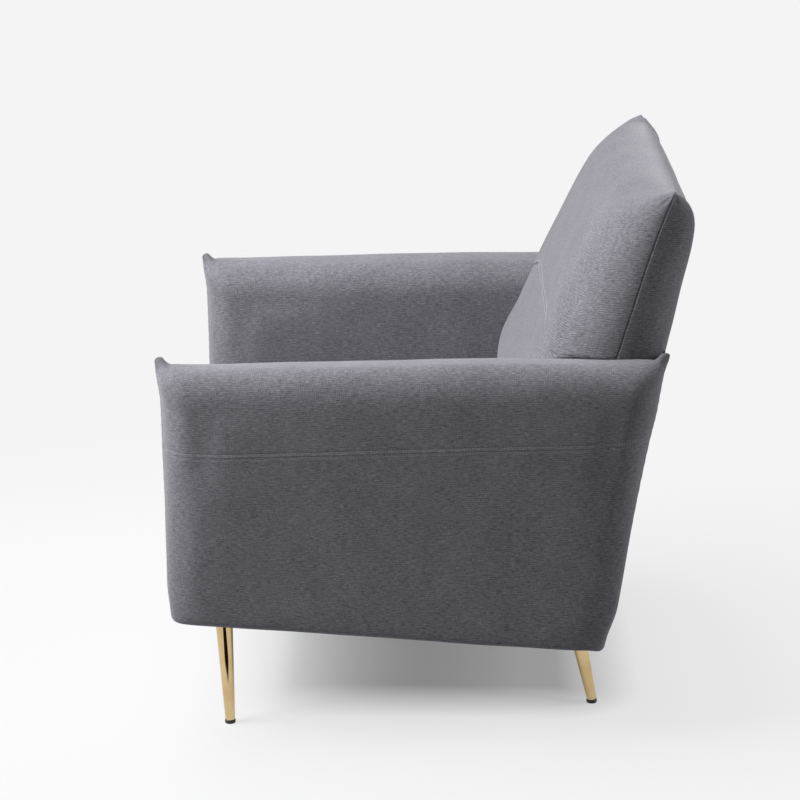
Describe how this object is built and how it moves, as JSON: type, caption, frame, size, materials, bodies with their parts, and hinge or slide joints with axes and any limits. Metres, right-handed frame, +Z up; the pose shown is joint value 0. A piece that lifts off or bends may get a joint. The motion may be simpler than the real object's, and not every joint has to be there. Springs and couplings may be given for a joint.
{
  "type": "upholstered armchair",
  "caption": "Low lounge armchair with pillow-like slab arms, a leaning tight back, a loose seat cushion and tapered brass-finished legs with black glides.",
  "frame": {"origin": "on the floor, under the middle of the chair's bounding box", "axes": "+Z up, the chair faces -Y, +X is the sitter's left"},
  "size_m": [0.8092, 0.7861, 0.8278],
  "materials": {
    "woven_cover": "matte",
    "black_cloth": "matte",
    "webbing": "matte",
    "felt": "matte",
    "foam": "matte",
    "frame_timber": "matte",
    "hardboard": "matte",
    "hardware_steel": "satin",
    "leg_brass": "polished",
    "glide": "satin",
    "zip": "satin"
  },
  "bodies": {
    "chair": {"seat_front_rail": "frame_timber", "seat_rear_rail": "frame_timber", "seat_side_rail_left": "frame_timber", "seat_side_rail_right": "frame_timber", "front_corner_blocks": "frame_timber", "rear_leg_blocks": "frame_timber", "back_stile_left": "frame_timber", "back_stile_right": "frame_timber", "back_top_rail": "frame_timber", "back_middle_rail": "frame_timber", "back_wing_blocks": "frame_timber", "back_board": "hardboard", "back_webbing": "webbing", "arm_base_board_left": "frame_timber", "arm_base_board_right": "frame_timber", "arm_front_post_left": "frame_timber", "arm_front_post_right": "frame_timber", "arm_rear_post_left": "frame_timber", "arm_rear_post_right": "frame_timber", "arm_top_rail_left": "frame_timber", "arm_top_rail_right": "frame_timber", "arm_panels_left": "hardboard", "arm_panels_right": "hardboard", "arm_bolts": "hardware_steel", "seat_springs": "hardware_steel", "spring_clips": "hardware_steel", "seat_felt": "felt", "seat_deck": "black_cloth", "front_band_pad": "foam", "front_band_cover": "woven_cover", "dust_cover": "black_cloth", "arm_foam_left": "foam", "arm_foam_right": "foam", "arm_cover_left": "woven_cover", "arm_cover_right": "woven_cover", "back_foam_upper": "foam", "back_foam_lower": "foam", "back_cover_upper": "woven_cover", "back_cover_lower": "woven_cover", "back_wadding": "foam", "back_outside_panel": "woven_cover", "leg_front_left": "leg_brass", "leg_front_right": "leg_brass", "leg_rear_left": "leg_brass", "leg_rear_right": "leg_brass", "glide_front_left": "glide", "glide_front_right": "glide", "glide_rear_left": "glide", "glide_rear_right": "glide", "leg_studs": "hardware_steel", "leg_inserts": "hardware_steel"},
    "seat_cushion": {"seat_cushion_foam": "foam", "seat_cushion_cover": "woven_cover", "seat_cushion_underside": "black_cloth", "seat_cushion_zip": "zip"}
  },
  "joints": [
    {"name": "seat_cushion_lift", "type": "slide", "parent": "chair", "child": "seat_cushion", "axis": [0, 0, 1], "range_m": [0, 0.32]}
  ]
}
